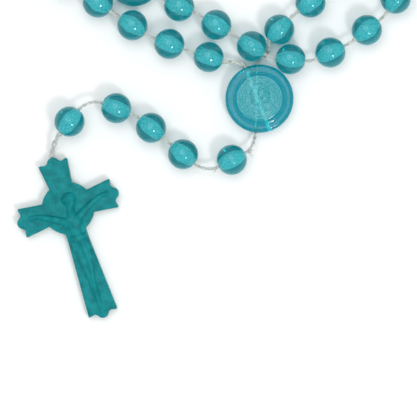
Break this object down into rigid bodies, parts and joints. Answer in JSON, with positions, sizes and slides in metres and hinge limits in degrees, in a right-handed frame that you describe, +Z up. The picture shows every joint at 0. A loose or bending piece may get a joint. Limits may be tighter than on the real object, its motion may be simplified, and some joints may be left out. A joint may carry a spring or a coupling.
{
  "type": "rosary",
  "caption": "Rosary laid flat: round beads in decades with disc-shaped beads between them, a round medal, a short pendant of beads and a crucifix, all on a twisted cord.",
  "frame": {"origin": "centre of the medal's flat back, on the surface the rosary lies on", "axes": "+Z up from that surface, through the beads; +X along the length of the laid-out loop; +Y from the medal towards the loop, away from the pendant"},
  "size_m": [0.2608, 0.1384, 0.008],
  "materials": {
    "bead_plastic": "gloss, pearly inside",
    "crucifix_plastic": "gloss",
    "cord": "two-ply twisted"
  },
  "bodies": {
    "medal": {"medal": "bead_plastic", "medal_cord": "cord", "decade_1_ave_01": "bead_plastic", "decade_5_aves_07_and_08": "bead_plastic", "decade_5_ave_09": "bead_plastic", "decade_5_ave_10": "bead_plastic", "cord_last_aves": "cord"},
    "ave_1_02": {"decade_1_ave_02": "bead_plastic", "cord_to_ave_1_02": "cord"},
    "ave_1_03": {"decade_1_ave_03": "bead_plastic", "cord_to_ave_1_03": "cord"},
    "left_lobe": {"decade_1_ave_04": "bead_plastic", "cord_to_ave_1_04": "cord", "decade_1_ave_05": "bead_plastic", "cord_to_ave_1_05": "cord", "decade_1_aves_06_to_10": "bead_plastic", "pater_1": "bead_plastic", "decade_2_aves_01_to_04": "bead_plastic", "cord_left_lobe": "cord", "decade_2_ave_05": "bead_plastic", "cord_from_ave_2_05": "cord", "decade_2_ave_06": "bead_plastic", "cord_from_ave_2_06": "cord"},
    "ave_2_07": {"decade_2_ave_07": "bead_plastic", "cord_from_ave_2_07": "cord"},
    "ave_2_08": {"decade_2_ave_08": "bead_plastic", "cord_from_ave_2_08": "cord"},
    "middle": {"decade_2_aves_09_and_10": "bead_plastic", "pater_2": "bead_plastic", "decade_3_ave_01": "bead_plastic", "decade_3_ave_02": "bead_plastic", "decade_3_ave_03": "bead_plastic", "decade_3_ave_04": "bead_plastic", "decade_3_ave_05": "bead_plastic", "cord_middle": "cord"},
    "ave_5_06": {"decade_5_ave_06": "bead_plastic", "cord_from_ave_5_06": "cord"},
    "ave_5_05": {"decade_5_ave_05": "bead_plastic", "cord_from_ave_5_05": "cord"},
    "right_lobe": {"decade_3_aves_08_to_10": "bead_plastic", "paters_3_and_4": "bead_plastic", "decade_4_aves": "bead_plastic", "decade_5_aves_01_to_04": "bead_plastic", "cord_right_lobe": "cord"},
    "ave_3_07": {"decade_3_ave_07": "bead_plastic", "cord_to_ave_3_07": "cord"},
    "ave_3_06": {"decade_3_ave_06": "bead_plastic", "cord_to_ave_3_06": "cord"},
    "pendant_1": {"pendant_bead_1": "bead_plastic", "pendant_cord_1": "cord"},
    "pendant_2": {"pendant_bead_2": "bead_plastic", "pendant_cord_2": "cord"},
    "pendant_3": {"pendant_bead_3": "bead_plastic", "pendant_cord_3": "cord"},
    "pendant_4": {"pendant_bead_4": "bead_plastic", "pendant_cord_4": "cord"},
    "pendant_5": {"pendant_bead_5": "bead_plastic", "pendant_cord_5": "cord"},
    "crucifix_cord": {"crucifix_cord": "cord"},
    "crucifix": {"crucifix": "crucifix_plastic"}
  },
  "joints": [
    {"name": "fold_left", "type": "hinge", "parent": "medal", "child": "ave_1_02", "pos_m": [-0.01719, 0.012, 0.004], "axis": [0, 0, 1], "range_deg": [0, 20]},
    {"name": "bend_at_ave_1_03", "type": "hinge", "parent": "ave_1_02", "child": "ave_1_03", "pos_m": [-0.02743, 0.01572, 0.004], "axis": [0, 0, 1], "range_deg": [-0.5, 10.5]},
    {"name": "bend_at_left_lobe", "type": "hinge", "parent": "ave_1_03", "child": "left_lobe", "pos_m": [-0.03673, 0.02138, 0.004], "axis": [0, 0, 1], "range_deg": [-30.5, 0.5]},
    {"name": "bend_at_ave_2_07", "type": "hinge", "parent": "left_lobe", "child": "ave_2_07", "pos_m": [-0.07555, 0.05704, 0.004], "axis": [0, 0, 1], "range_deg": [-0.5, 30.5]},
    {"name": "bend_at_ave_2_08", "type": "hinge", "parent": "ave_2_07", "child": "ave_2_08", "pos_m": [-0.06626, 0.05138, 0.004], "axis": [0, 0, 1], "range_deg": [-10.5, 0.5]},
    {"name": "bend_at_middle", "type": "hinge", "parent": "ave_2_08", "child": "middle", "pos_m": [-0.05601, 0.04766, 0.004], "axis": [0, 0, 1], "range_deg": [-20.5, 0.5]},
    {"name": "fold_right", "type": "hinge", "parent": "medal", "child": "ave_5_06", "pos_m": [0.03345, 0.04083, 0.004], "axis": [0, 0, -1], "range_deg": [-8, 30]},
    {"name": "bend_at_ave_5_05", "type": "hinge", "parent": "ave_5_06", "child": "ave_5_05", "pos_m": [0.04257, 0.04748, 0.004], "axis": [0, 0, -1], "range_deg": [-6.9, 24.5]},
    {"name": "bend_at_right_lobe", "type": "hinge", "parent": "ave_5_05", "child": "right_lobe", "pos_m": [0.04916, 0.05663, 0.004], "axis": [0, 0, -1], "range_deg": [-54.5, 14.9]},
    {"name": "bend_at_ave_3_07", "type": "hinge", "parent": "right_lobe", "child": "ave_3_07", "pos_m": [0.03793, 0.02957, 0.004], "axis": [0, 0, -1], "range_deg": [-14.9, 54.5]},
    {"name": "bend_at_ave_3_06", "type": "hinge", "parent": "ave_3_07", "child": "ave_3_06", "pos_m": [0.03134, 0.02043, 0.004], "axis": [0, 0, -1], "range_deg": [-24.5, 6.9]},
    {"name": "swing_pendant_at_medal", "type": "hinge", "parent": "medal", "child": "pendant_1", "pos_m": [-0.001, -0.00894, 0.0022], "axis": [0, 0, 1], "range_deg": [-16, 40]},
    {"name": "bend_at_pendant_2", "type": "hinge", "parent": "pendant_1", "child": "pendant_2", "pos_m": [-0.01085, -0.01792, 0.004], "axis": [0, 0, 1], "range_deg": [-18, 45]},
    {"name": "bend_at_pendant_3", "type": "hinge", "parent": "pendant_2", "child": "pendant_3", "pos_m": [-0.02314, -0.01207, 0.004], "axis": [0, 0, -1], "range_deg": [-40, 35]},
    {"name": "bend_at_pendant_4", "type": "hinge", "parent": "pendant_3", "child": "pendant_4", "pos_m": [-0.0316, -0.00519, 0.004], "axis": [0, 0, -1], "range_deg": [-40, 40]},
    {"name": "bend_at_pendant_5", "type": "hinge", "parent": "pendant_4", "child": "pendant_5", "pos_m": [-0.04138, -0.00118, 0.004], "axis": [0, 0, 1], "range_deg": [-45, 30]},
    {"name": "swing_crucifix", "type": "hinge", "parent": "pendant_5", "child": "crucifix_cord", "pos_m": [-0.05236, -0.00922, 0.004], "axis": [0, 0, -1], "range_deg": [-30, 40]},
    {"name": "lift_crucifix", "type": "hinge", "parent": "crucifix_cord", "child": "crucifix", "pos_m": [-0.05485, -0.01555, 0.0015], "axis": [-0.9483, -0.3173, 0], "range_deg": [0, 35]}
  ],
  "couplings": [
    {"joint": "bend_at_ave_1_03", "follows": "fold_left", "ratio": 0.5},
    {"joint": "bend_at_left_lobe", "follows": "fold_left", "ratio": -1.5},
    {"joint": "bend_at_ave_2_07", "follows": "fold_left", "ratio": 1.5},
    {"joint": "bend_at_ave_2_08", "follows": "fold_left", "ratio": -0.5},
    {"joint": "bend_at_middle", "follows": "fold_left", "ratio": -1},
    {"joint": "bend_at_ave_5_05", "follows": "fold_right", "ratio": 0.8},
    {"joint": "bend_at_right_lobe", "follows": "fold_right", "ratio": -1.8},
    {"joint": "bend_at_ave_3_07", "follows": "fold_right", "ratio": 1.8},
    {"joint": "bend_at_ave_3_06", "follows": "fold_right", "ratio": -0.8}
  ]
}
